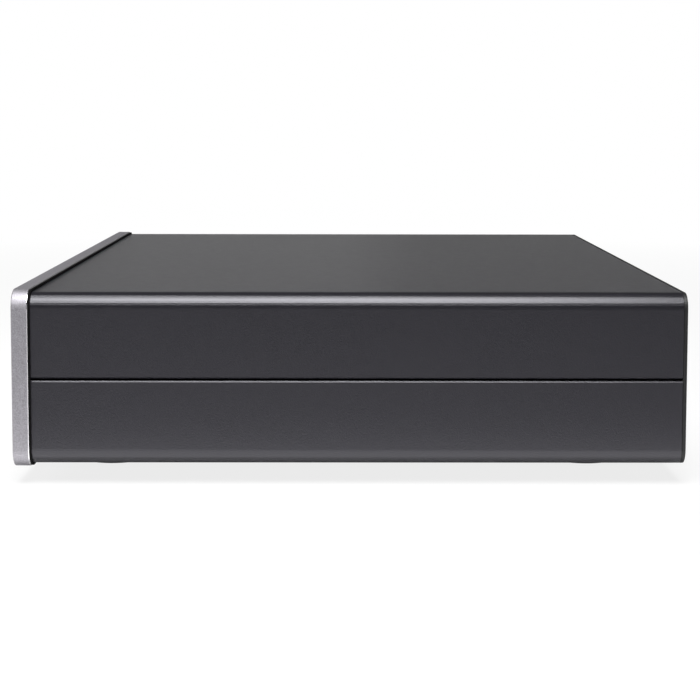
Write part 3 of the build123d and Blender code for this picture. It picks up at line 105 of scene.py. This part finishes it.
finishes = {
    # Aluminium extrusion, bead blasted and dyed graphite: a dark satin with a fine mottle where light grazes it
    "graphiteAnodised": {"shades": ("#111015", "#151419"), "cloudMm": 5.0, "grainMm": 0.65, "grainDepthMm": 0.08,
                         "roughness": (0.28, 0.3), "shader": {"Metallic": 0.0, "IOR": 1.47,
                                                               "Specular Tint": hexColour("#f9f8ff")}},
    # Machined aluminium plate, bead blasted and clear anodised: pale and even, with a sparkle of grit
    "blastedAluminium": {"shades": ("#58565b", "#aba9ae"), "cloudMm": 0.6, "grainMm": 0.6, "grainDepthMm": 0.07,
                         "roughness": (0.54, 0.64), "shader": {"Metallic": 1.0}},
    # Aluminium dial, turned and clear anodised: lathe lines, drawn coarser than real ones so that they show
    "turnedAluminium": {"shades": ("#b3b2b5", "#bab9bc"), "cloudMm": 3.0, "grainMm": 0.4, "grainDepthMm": 0.001,
                        "roughness": (0.29, 0.33), "shader": {"Metallic": 1.0},
                        "rings": {"centre": [(a + b) / 2 for a, b in zip(*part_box("control_dial"))], "lineMm": 1.4,
                                  "depthMm": 0.02}},
    # Small aluminium caps, tumbled and clear anodised: brighter than the plate, with a soft sheen
    "tumbledAluminium": {"shades": ("#b8b7ba", "#bfbec1"), "cloudMm": 1.5, "grainMm": 0.4, "grainDepthMm": 0.002,
                         "roughness": (0.3, 0.36), "shader": {"Metallic": 1.0}},
    # The same plate's rear edge, cut bright with a diamond tool
    "cutAluminium": {"shades": ("#c9c8cb", "#d2d1d4"), "cloudMm": 3.0, "grainMm": 0.4, "grainDepthMm": 0.001,
                     "roughness": (0.14, 0.2), "shader": {"Metallic": 1.0}},
    # Inner lap of the shells inside the seam: painted shade, a near-black matt colour that stands in for the shadow in
    # the gap
    "lapPaintedShade": {"shades": ("#020202", "#030303"), "cloudMm": 4.0, "grainMm": 0.8, "grainDepthMm": 0.01,
                 "roughness": (0.85, 0.95), "shader": {"Metallic": 0.0, "Specular IOR Level": 0.02}},
    # Steel sheet under matt black paint
    "blackPaintedSteel": {"shades": ("#060606", "#09090a"), "cloudMm": 5.0, "grainMm": 0.8, "grainDepthMm": 0.008,
                          "roughness": (0.7, 0.8), "shader": {"Metallic": 0.0, "Specular IOR Level": 0.05}},
    # Aluminium sheet under dark satin paint
    "satinPaintedSheet": {"shades": ("#131314", "#171718"), "cloudMm": 6.0, "grainMm": 0.9, "grainDepthMm": 0.01,
                          "roughness": (0.45, 0.55), "shader": {"Metallic": 0.0, "Specular IOR Level": 0.25}},
    # Moulded ABS, spark-eroded
    "mouldedAbs": {"shades": ("#19191a", "#1e1e1f"), "cloudMm": 4.0, "grainMm": 0.5, "grainDepthMm": 0.012,
                   "roughness": (0.45, 0.55), "shader": {"Metallic": 0.0}},
    # Nitrile rubber pads
    "nitrileRubber": {"shades": ("#141414", "#1a1a19"), "cloudMm": 3.0, "grainMm": 0.7, "grainDepthMm": 0.02,
                      "roughness": (0.75, 0.85), "shader": {"Metallic": 0.0}},
    # Zinc plated steel: cool grey with faint clouds of the bath
    "zincPlatedSteel": {"shades": ("#a9abb0", "#b8babd"), "cloudMm": 1.5, "grainMm": 0.3, "grainDepthMm": 0.003,
                        "roughness": (0.28, 0.38), "shader": {"Metallic": 1.0}},
    # Nickel plated sheet
    "nickelPlate": {"shades": ("#b9b4a8", "#c4bfb4"), "cloudMm": 3.0, "grainMm": 0.6, "grainDepthMm": 0.002,
                    "roughness": (0.18, 0.26), "shader": {"Metallic": 1.0}},
    # Gold plated brass
    "goldPlate": {"shades": ("#d8ad52", "#e0b962"), "cloudMm": 2.0, "grainMm": 0.4, "grainDepthMm": 0.002,
                  "roughness": (0.16, 0.22), "shader": {"Metallic": 1.0}},
    # Smoked acrylic, polished: nearly black, with a clean reflection
    "smokedAcrylic": {"shades": ("#0a0a0c", "#0c0c0e"), "cloudMm": 20.0, "grainMm": 6.0, "grainDepthMm": 0.001,
                      "roughness": (0.04, 0.06), "shader": {"Metallic": 0.0, "IOR": 1.49,
                                                            "Transmission Weight": 0.25}},
    # Glass front of the display
    "displayGlass": {"shades": ("#0e1216", "#11161b"), "cloudMm": 20.0, "grainMm": 5.0, "grainDepthMm": 0.001,
                     "roughness": (0.08, 0.1), "shader": {"Metallic": 0.0, "IOR": 1.5}},
    # Glass-fibre laminate under green solder mask
    "solderMask": {"shades": ("#0e4a2a", "#125631"), "cloudMm": 8.0, "grainMm": 1.2, "grainDepthMm": 0.01,
                   "roughness": (0.3, 0.38), "shader": {"Metallic": 0.0}},
    # Glass-filled PBT of sockets and switches
    "blackPbt": {"shades": ("#111112", "#161617"), "cloudMm": 4.0, "grainMm": 0.4, "grainDepthMm": 0.006,
                 "roughness": (0.35, 0.45), "shader": {"Metallic": 0.0}},
    # Clear polycarbonate light pipe
    "clearPolycarbonate": {"shades": ("#dfe4e8", "#e6eaee"), "cloudMm": 5.0, "grainMm": 1.0, "grainDepthMm": 0.001,
                           "roughness": (0.1, 0.14), "shader": {"Metallic": 0.0, "Transmission Weight": 0.6,
                                                                "IOR": 1.58, "Emission Strength": 0.5,
                                                                "Emission Color": hexColour("#e8f0ff")}},
    # Coloured nylon of the phono sockets
    "redNylon": {"shades": ("#a3161a", "#ac1a1d"), "cloudMm": 3.0, "grainMm": 0.4, "grainDepthMm": 0.004,
                 "roughness": (0.32, 0.4), "shader": {"Metallic": 0.0}},
    "whiteNylon": {"shades": ("#dcdbd6", "#e3e2dd"), "cloudMm": 3.0, "grainMm": 0.4, "grainDepthMm": 0.004,
                   "roughness": (0.32, 0.4), "shader": {"Metallic": 0.0}},
    "orangeNylon": {"shades": ("#d2641a", "#da6c1f"), "cloudMm": 3.0, "grainMm": 0.4, "grainDepthMm": 0.004,
                    "roughness": (0.32, 0.4), "shader": {"Metallic": 0.0}},
    # Borosilicate tube of the fuse
    "fuseGlass": {"shades": ("#d9e2e0", "#e2eae8"), "cloudMm": 4.0, "grainMm": 1.0, "grainDepthMm": 0.001,
                  "roughness": (0.03, 0.05), "shader": {"Metallic": 0.0, "Transmission Weight": 0.85, "IOR": 1.47}},
    # PVC over copper leads and in the ribbon
    "blackPvc": {"shades": ("#202022", "#262628"), "cloudMm": 5.0, "grainMm": 0.6, "grainDepthMm": 0.004,
                 "roughness": (0.4, 0.5), "shader": {"Metallic": 0.0}},
    "greyPvc": {"shades": ("#a4a4a4", "#adadac"), "cloudMm": 5.0, "grainMm": 1.27, "grainDepthMm": 0.05,
                "roughness": (0.42, 0.5), "stretch": (1, 0.02, 0.02), "shader": {"Metallic": 0.0}},
    # Sleeved capacitor cans and the potted transformer
    "blueSleeve": {"shades": ("#15213f", "#1a2748"), "cloudMm": 8.0, "grainMm": 2.0, "grainDepthMm": 0.01,
                   "roughness": (0.28, 0.34), "shader": {"Metallic": 0.0}},
    "pottingResin": {"shades": ("#151517", "#1b1b1d"), "cloudMm": 9.0, "grainMm": 1.5, "grainDepthMm": 0.02,
                     "roughness": (0.35, 0.5), "shader": {"Metallic": 0.0}},
    # Enamel wiped into engraved marks, dark on the caps and white on black pieces
    "darkEnamel": {"shades": ("#1b1b1d", "#212123"), "cloudMm": 1.0, "grainMm": 0.3, "grainDepthMm": 0.004,
                   "roughness": (0.4, 0.5), "shader": {"Metallic": 0.0}},
    "whiteEnamel": {"shades": ("#c9c9c7", "#d2d2d0"), "cloudMm": 1.0, "grainMm": 0.3, "grainDepthMm": 0.004,
                    "roughness": (0.45, 0.55), "shader": {"Metallic": 0.0}},
}
materials = {name: makeFinish(name, finish) for name, finish in finishes.items()}

wearers = {
    "graphiteAnodised": ["top_shell", "bottom_shell"],
    "blastedAluminium": ["front_plate"],
    "turnedAluminium": ["control_dial"],
    "tumbledAluminium": ["standby_button", "menu_button", "play_button", "previous_button", "next_button"],
    "blackPaintedSteel": ["front_subpanel", "rear_screws", "subpanel_screws", "dial_grub_screw", "inlet_screws"],
    "satinPaintedSheet": ["rear_panel"],
    "mouldedAbs": ["feet"],
    "nitrileRubber": ["foot_pads"],
    "zincPlatedSteel": ["foot_screws", "machine_screws", "locating_pins", "control_posts", "board_posts",
                        "encoder_nut", "encoder_shaft", "transformer_clamp", "transformer_bolt", "phono_nuts"],
    "nickelPlate": ["rocker_tabs", "mains_blades", "usb_shells", "network_module"],
    "goldPlate": ["phono_barrels", "ethernet_contacts"],
    "smokedAcrylic": ["display_window"],
    "displayGlass": ["display_module"],
    "solderMask": ["control_board", "main_board", "power_supply_board"],
    "blackPbt": ["key_switches", "encoder_body", "encoder_plunger", "mains_inlet", "fuse_drawer", "rocker_housing",
                 "power_rocker", "optical_socket", "optical_shutter", "ethernet_socket", "usb_tongues",
                 "board_connectors", "converter_chips"],
    "clearPolycarbonate": ["status_light"],
    "redNylon": ["right_phono_collar"],
    "whiteNylon": ["left_phono_collar"],
    "orangeNylon": ["coaxial_phono_collar"],
    "fuseGlass": ["fuse"],
    "blackPvc": ["mains_leads"],
    "greyPvc": ["ribbon_cable"],
    "blueSleeve": ["capacitors"],
    "pottingResin": ["transformer"],
}
finishOf = {node: name for name, wearing in wearers.items() for node in wearing}
for node, cad in cadNodes.items():
    cad.data.materials.clear()
    cad.data.materials.append(materials[finishOf[node]])
print("finishes:", len(materials))


# Trims: painted shade, a near-black second finish, on the lap inside the seam, and a second finish on the slope of the
# plate's rear edge
lap = {"top": 52.6 * mm, "foot": 46.9 * mm, "reach": 212.7 * mm}
slope = {"least": 0.3, "most": 0.95}
trims = {
    # the shells' faces inside the seam take the painted shade
    "top_shell": ("lapPaintedShade", lambda face, mid: max(v.co.z for v in face.verts) < lap["top"]
                  and abs(mid.x) < lap["reach"]),
    "bottom_shell": ("lapPaintedShade", lambda face, mid: min(v.co.z for v in face.verts) > lap["foot"]
                     and abs(mid.x) < lap["reach"]),
    "front_plate": ("cutAluminium", lambda face, mid: slope["least"] < face.normal.y < slope["most"]),
}


# The dial's faces shade by the surfaces that the lathe and the mill cut, not by their uneven triangles
dial = {"radius": 23.0 * mm, "edge": 1.2 * mm, "dishReach": 19.5 * mm, "dishDepth": 0.7 * mm, "flutes": 60,
        "fluteRadius": 0.6 * mm, "dimpleRadius": 7.0 * mm, "dimpleReach": 12.5 * mm, "dimpleDepth": 1.6 * mm,
        "within": 0.01 * mm}


def turnedNormals(mesh):
    low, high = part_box("control_dial")
    axis, front = Vector(((low[0] + high[0]) / 2, 0, (low[2] + high[2]) / 2)), low[1]
    dishRadius = (dial["dishReach"] ** 2 + dial["dishDepth"] ** 2) / (2 * dial["dishDepth"])
    dish = axis + Vector((0, front + dial["dishDepth"] - dishRadius, 0))
    dimple = axis + Vector((0, front + dial["dimpleDepth"] - dial["dimpleRadius"], dial["dimpleReach"]))
    step = 2 * math.pi / dial["flutes"]

    def out(spot):  # away from the dial's axis
        return Vector((spot.x - axis.x, 0, spot.z - axis.z))

    def flute(spot):  # towards the middle of the nearest flute
        turn = step * round(math.atan2(out(spot).z, out(spot).x) / step)
        return dial["radius"] * Vector((math.cos(turn), 0, math.sin(turn))) - out(spot)

    surfaces = [  # which way each faces, and how far a spot is off it
        (lambda spot: dish - spot, lambda spot: (dish - spot).length - dishRadius),
        (lambda spot: dimple - spot, lambda spot: (dimple - spot).length - dial["dimpleRadius"]),
        (out, lambda spot: out(spot).length - dial["radius"]),
        (flute, lambda spot: flute(spot).length - dial["fluteRadius"]),
        (lambda spot: out(spot).normalized() - Vector((0, 1, 0)),
         lambda spot: out(spot).length - dial["radius"] + dial["edge"] - spot.y + front),
    ]
    normals = [None] * len(mesh.loops)
    for face in mesh.polygons:
        spots = [mesh.vertices[v].co for v in face.vertices]
        ways = [way for way, off in surfaces if all(abs(off(spot)) < dial["within"] for spot in spots)]
        for loop, spot in zip(face.loop_indices, spots):
            normals[loop] = ways[0](spot).normalized() if ways else face.normal.copy()
    mesh.normals_split_custom_set(normals)


# A copy of a node whose round faces shade smoothly, with its trim
smoothing = {"merge": 0.002 * mm, "angle": math.radians(28), "weight": 100}


def smoothCopy(node, body):
    piece = bpy.data.objects.new(node + ".smooth", cadNodes[node].data.copy())
    bpy.context.scene.collection.objects.link(piece)
    shape = bmesh.new()
    shape.from_mesh(piece.data)
    bmesh.ops.remove_doubles(shape, verts=shape.verts, dist=smoothing["merge"])
    finish, picks = trims.get(node, (None, None))
    for face in shape.faces:
        face.smooth = True
        face.material_index = int(picks is not None and picks(face, face.calc_center_median()))
    shape.to_mesh(piece.data)
    if finish:
        piece.data.materials.append(materials[finish])
    shape.free()
    if node == "control_dial":
        turnedNormals(piece.data)
    else:
        piece.data.set_sharp_from_angle(angle=smoothing["angle"])
        weigh = piece.modifiers.new("weigh", "WEIGHTED_NORMAL")
        weigh.keep_sharp = True
        weigh.weight = smoothing["weight"]
    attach(piece, body)
    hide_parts(node)


roundNodes = {"chassis": ["top_shell", "bottom_shell", "front_plate", "front_subpanel", "rear_panel", "feet",
                          "foot_pads", "phono_barrels", "right_phono_collar", "left_phono_collar",
                          "coaxial_phono_collar", "rocker_housing", "usb_shells", "status_light",
                          "foot_screws"],
              "dial": ["control_dial"], "power_rocker": ["power_rocker"]}
roundNodes.update({button: [button] for button in wearers["tumbledAluminium"]})
for body, members in roundNodes.items():
    for node in members:
        smoothCopy(node, body)
print("smoothed:", sum(len(m) for m in roundNodes.values()))

# Marks: signs and two letters that any player has, engraved and filled; the shares are of a cap mark's reach
marks = {"thick": 0.1 * mm, "proud": 0.02 * mm, "stroke": 0.7 * mm, "merge": 0.001 * mm, "ringSteps": 32,
         "reach": 2.1 * mm, "standbyStart": 125, "standbySweep": 290, "standbyRiseShare": 0.7, "menuPitchShare": 0.65,
         "playShare": 1.1, "skipShare": 0.9, "skipShiftShare": 0.2, "stopShare": 1.6, "stopShiftShare": 0.95,
         "rockerReach": 1.7 * mm, "letterSize": 4.2 * mm, "letterRise": 9.5 * mm}


def bar(shape, width, height, x, y):
    bmesh.ops.create_cube(shape, size=1, matrix=Matrix.Translation((x, y, 0)) @ Matrix.Diagonal(
        (width, height, marks["thick"], 1)))


def arrow(shape, radius, x, turn):
    bmesh.ops.create_cone(shape, cap_ends=True, segments=3, radius1=radius, radius2=radius, depth=marks["thick"],
                          matrix=Matrix.Translation((x, 0, 0)) @ Matrix.Rotation(turn, 4, "Z"))


def ring(shape, radius, start, angle):
    made = bmesh.ops.create_grid(shape, x_segments=1, y_segments=1, size=0.5, matrix=Matrix.Rotation(start, 4, "Z")
                                 @ Matrix.Translation((radius, 0, 0)) @ Matrix.Rotation(math.pi / 2, 4, "X")
                                 @ Matrix.Diagonal((marks["stroke"], marks["thick"], 1, 1)))
    section = [face for face in shape.faces if all(v in made["verts"] for v in face.verts)]
    whole = math.isclose(angle, 2 * math.pi)
    bmesh.ops.spin(shape, geom=made["verts"] + section + list({e for f in section for e in f.edges}), cent=(0, 0, 0),
                   axis=(0, 0, 1), angle=angle, steps=marks["ringSteps"], use_merge=whole)
    bmesh.ops.holes_fill(shape, edges=[e for e in shape.edges if e.is_boundary])


def seat(node, x, z, side):  # where a mark stands on a node's front (-1) or rear (1) face
    shape = bmesh.new()
    shape.from_mesh(cadNodes[node].data)
    spot, normal = BVHTree.FromBMesh(shape).ray_cast(Vector((x, side, z)), Vector((0, -side, 0)))[:2]
    shape.free()
    rise = (Vector((0, 0, 1)) - normal * normal.z).normalized()
    across = rise.cross(normal)
    spot += normal * (marks["proud"] - marks["thick"] / 2)
    return Matrix.Translation(spot) @ Matrix((across, rise, normal)).transposed().to_4x4()


def addMark(name, shape, place, finish, body):
    bmesh.ops.transform(shape, matrix=place, verts=shape.verts)
    bmesh.ops.remove_doubles(shape, verts=shape.verts, dist=marks["merge"])
    bmesh.ops.recalc_face_normals(shape, faces=shape.faces)
    mesh = bpy.data.meshes.new(name)
    shape.to_mesh(mesh)
    shape.free()
    mesh.materials.append(materials[finish])
    piece = bpy.data.objects.new(name, mesh)
    bpy.context.scene.collection.objects.link(piece)
    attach(piece, body)


reach, stroke = marks["reach"], marks["stroke"]
start, sweep = math.radians(marks["standbyStart"]), math.radians(marks["standbySweep"])
barRise, pitch = marks["standbyRiseShare"] * reach, marks["menuPitchShare"] * reach
skip, skipShift = marks["skipShare"] * reach, marks["skipShiftShare"] * reach
stop, stopShift = marks["stopShare"] * reach, marks["stopShiftShare"] * reach
capMarks = {
    "standby_button": lambda shape: (ring(shape, reach, start, sweep), bar(shape, stroke, reach, 0, barRise)),
    "menu_button": lambda shape: [bar(shape, 2 * reach, stroke, 0, y) for y in (-pitch, 0, pitch)],
    "play_button": lambda shape: arrow(shape, marks["playShare"] * reach, 0, -math.pi / 2),
    "previous_button": lambda shape: (arrow(shape, skip, skipShift, math.pi / 2),
                                      bar(shape, stroke, stop, -stopShift, 0)),
    "next_button": lambda shape: (arrow(shape, skip, -skipShift, -math.pi / 2),
                                  bar(shape, stroke, stop, stopShift, 0)),
}
for node, draw in capMarks.items():
    low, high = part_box(node)
    shape = bmesh.new()
    draw(shape)
    addMark(node + ".mark", shape, seat(node, (low[0] + high[0]) / 2, (low[2] + high[2]) / 2, -1), "darkEnamel", node)
low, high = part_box("power_rocker")
middle, quarter = (low[0] + high[0]) / 2, (high[2] - low[2]) / 4
rockerMarks = {  # a bar on the upper half and a ring on the lower one
    "onMark": (lambda shape: bar(shape, stroke, 2 * marks["rockerReach"], 0, 0), high[2] - quarter),
    "offMark": (lambda shape: ring(shape, marks["rockerReach"], 0, 2 * math.pi), low[2] + quarter),
}
for mark, (draw, height) in rockerMarks.items():
    shape = bmesh.new()
    draw(shape)
    addMark("power_rocker." + mark, shape, seat("power_rocker", middle, height, 1), "whiteEnamel", "power_rocker")
letters = {"right_phono_collar": "R", "left_phono_collar": "L"}
for node, letter in letters.items():
    low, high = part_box(node)
    words = bpy.data.curves.new(node + ".letter", "FONT")
    words.body, words.size, words.extrude = letter, marks["letterSize"], marks["thick"] / 2
    words.align_x, words.align_y = "CENTER", "CENTER"
    holder = bpy.data.objects.new(node + ".letter", words)
    shape = bmesh.new()
    shape.from_mesh(bpy.data.meshes.new_from_object(holder))
    bpy.data.objects.remove(holder)
    addMark("rear_panel." + letter, shape, seat("rear_panel", (low[0] + high[0]) / 2, (low[2] + high[2]) / 2
                                                + marks["letterRise"], 1), "whiteEnamel", "chassis")
print("marks:", len(capMarks) + len(rockerMarks) + len(letters))

# Floor: pale paper that runs up into a low backdrop, with more glow of its own the farther it lies from the object
paper = {"reach": 9.0, "side": 12.0, "sweepX": -8.0, "sweepHeight": 0.75, "sweepRadius": 0.4, "sweepSteps": 12,
         "shade": "#cfcfcf", "lift": {"near": 0.3, "far": 1.5, "nearShare": 0.82, "farShare": 1.0},
         "mirrorLift": {"near": 0.3, "far": 3.0, "nearShare": 0.1, "farShare": 1.0}}
sheet = bmesh.new()
far, near, side = paper["sweepX"], paper["reach"], paper["side"]
profile = [sheet.verts.new(spot) for spot in ((near, -side, 0), (far, -side, 0), (far, -side, paper["sweepHeight"]))]
for ends in zip(profile, profile[1:]):
    sheet.edges.new(ends)
bmesh.ops.bevel(sheet, geom=[profile[1]], offset=paper["sweepRadius"], affect="VERTICES",
                segments=paper["sweepSteps"], profile=0.5, material=-1)
swept = bmesh.ops.extrude_edge_only(sheet, edges=sheet.edges[:])
bmesh.ops.translate(sheet, verts=[v for v in swept["geom"] if isinstance(v, bmesh.types.BMVert)], vec=(0, 2 * side, 0))
bmesh.ops.recalc_face_normals(sheet, faces=sheet.faces)
floorMesh = bpy.data.meshes.new("floor")
sheet.to_mesh(floorMesh)
sheet.free()
floor = bpy.data.objects.new("floor", floorMesh)
bpy.context.scene.collection.objects.link(floor)
floorPaper = bpy.data.materials.new("studioPaper")  # matt white paper, lifted where it is looked at or mirrored
floorPaper.use_nodes = True
tree = floorPaper.node_tree
matt = tree.nodes["Principled BSDF"]
matt.inputs["Base Color"].default_value = hexColour(paper["shade"])
matt.inputs["Roughness"].default_value = 1.0
matt.inputs["Specular IOR Level"].default_value = 0.0
ray = addNode(tree, "ShaderNodeLightPath")
mirrored = addNode(tree, "ShaderNodeMath", {"operation": "MAXIMUM"},
                   {0: ray.outputs["Is Glossy Ray"], 1: ray.outputs["Is Transmission Ray"]})
away = addNode(tree, "ShaderNodeVectorMath", {"operation": "LENGTH"},
               {0: addNode(tree, "ShaderNodeTexCoord").outputs["Object"]})
shares = []
for rays, lift in ((ray.outputs["Is Camera Ray"], paper["lift"]), (mirrored.outputs[0], paper["mirrorLift"])):
    rise = addNode(tree, "ShaderNodeMapRange", {"From Min": lift["near"], "From Max": lift["far"],
                                                "To Min": lift["nearShare"], "To Max": lift["farShare"]},
                   {"Value": away.outputs["Value"]})
    shares.append(addNode(tree, "ShaderNodeMath", {"operation": "MULTIPLY"}, {0: rays, 1: rise.outputs[0]}))
share = addNode(tree, "ShaderNodeMath", {"operation": "MAXIMUM"}, {0: shares[0].outputs[0], 1: shares[1].outputs[0]})
glow = addNode(tree, "ShaderNodeEmission", {"Strength": 1.0})
lifted = addNode(tree, "ShaderNodeMixShader", links={0: share.outputs[0], 1: matt.outputs[0], 2: glow.outputs[0]})
tree.links.new(lifted.outputs[0], tree.nodes["Material Output"].inputs["Surface"])
floor.data.materials.append(floorPaper)
print("floor:", len(floorMesh.polygons), "faces")

# Room: grey, but white where it is looked at, and a little lighter in mirrors
room = {"shade": "#4b4b4b", "seenShade": "#ffffff", "mirrorShare": 0.03}
world = bpy.data.worlds.new("studioWorld")
bpy.context.scene.world = world
world.use_nodes = True
tree = world.node_tree
ray = addNode(tree, "ShaderNodeLightPath")
seen = addNode(tree, "ShaderNodeMath", {"operation": "MAXIMUM"},
               {0: ray.outputs["Is Camera Ray"], 1: ray.outputs["Is Transmission Ray"]})
mirrored = addNode(tree, "ShaderNodeMath", {"operation": "MULTIPLY", 1: room["mirrorShare"]},
                   {0: ray.outputs["Is Glossy Ray"]})
share = addNode(tree, "ShaderNodeMath", {"operation": "MAXIMUM"}, {0: seen.outputs[0], 1: mirrored.outputs[0]})
tone = addNode(tree, "ShaderNodeMix", {"data_type": "RGBA", 6: hexColour(room["shade"]),
                                       7: hexColour(room["seenShade"])}, {0: share.outputs[0]})
tree.links.new(tone.outputs[2], tree.nodes["Background"].inputs["Color"])


# Lamps: a long softbox leans over the near side, weaker ones stand round the object, and a strip glows on the floor
lamps = {
    "softboxAbove": {"size": (1.5, 1.0), "place": (0.78, -0.12, 1.45), "turn": (0, math.atan2(0.63, 1.45), 0),
                     "radiance": 3.4, "spread": 80},
    "fillFront": {"size": (3.6, 1.0), "place": (0.0, -2.2, 0.8), "target": (0, 0, 0.05), "radiance": 2.6},
    "fillRear": {"size": (3.6, 1.0), "place": (0.4, 2.2, 0.55), "target": (0, 0, 0.05), "radiance": 0.8},
    "fillBehind": {"size": (2.4, 0.8), "place": (-2.4, -1.0, 0.75), "target": (0, 0, 0.05), "radiance": 0.12},
    "lightTable": {"size": (0.07, 1.2), "place": (0.25, 0.0, 0.003), "turn": (math.pi, 0, 0), "radiance": 1.3},
}
for name, lamp in lamps.items():
    light = bpy.data.lights.new(name, "AREA")
    light.shape = "RECTANGLE"
    width, length = light.size, light.size_y = lamp["size"]
    light.energy = lamp["radiance"] * math.pi * width * length
    if "spread" in lamp:
        light.spread = math.radians(lamp["spread"])
    holder = bpy.data.objects.new(name, light)
    bpy.context.scene.collection.objects.link(holder)
    holder.location = lamp["place"]
    holder.visible_camera = False
    if "turn" in lamp:
        holder.rotation_euler = lamp["turn"]
    else:
        aim = Vector(lamp["target"]) - Vector(lamp["place"])
        holder.rotation_euler = aim.to_track_quat("-Z", "Y").to_euler()
print("lamps:", len(lamps))

# Camera: a long lens at the side of the case, a little above it
lens = {"place": (1.0675, -0.0019, 0.1812), "pitch": 5.04, "yaw": -0.31, "roll": 0.1, "lens": 91.55, "sensor": 36,
        "shift": (0.0, -0.1156), "clip": (0.01, 60)}
camera = bpy.data.objects.new("camera", bpy.data.cameras.new("camera"))
bpy.context.scene.collection.objects.link(camera)
camera.data.sensor_width = lens["sensor"]
camera.data.lens = lens["lens"]
camera.data.shift_x, camera.data.shift_y = lens["shift"]
camera.data.clip_start, camera.data.clip_end = lens["clip"]
camera.location = lens["place"]
turn = Matrix.Rotation(math.radians(90 + lens["yaw"]), 3, "Z") @ Matrix.Rotation(
    math.radians(90 - lens["pitch"]), 3, "X") @ Matrix.Rotation(math.radians(lens["roll"]), 3, "Z")
camera.rotation_euler = turn.to_euler()
bpy.context.scene.camera = camera
bpy.context.scene.view_settings.view_transform = "Standard"

print("scene ready")
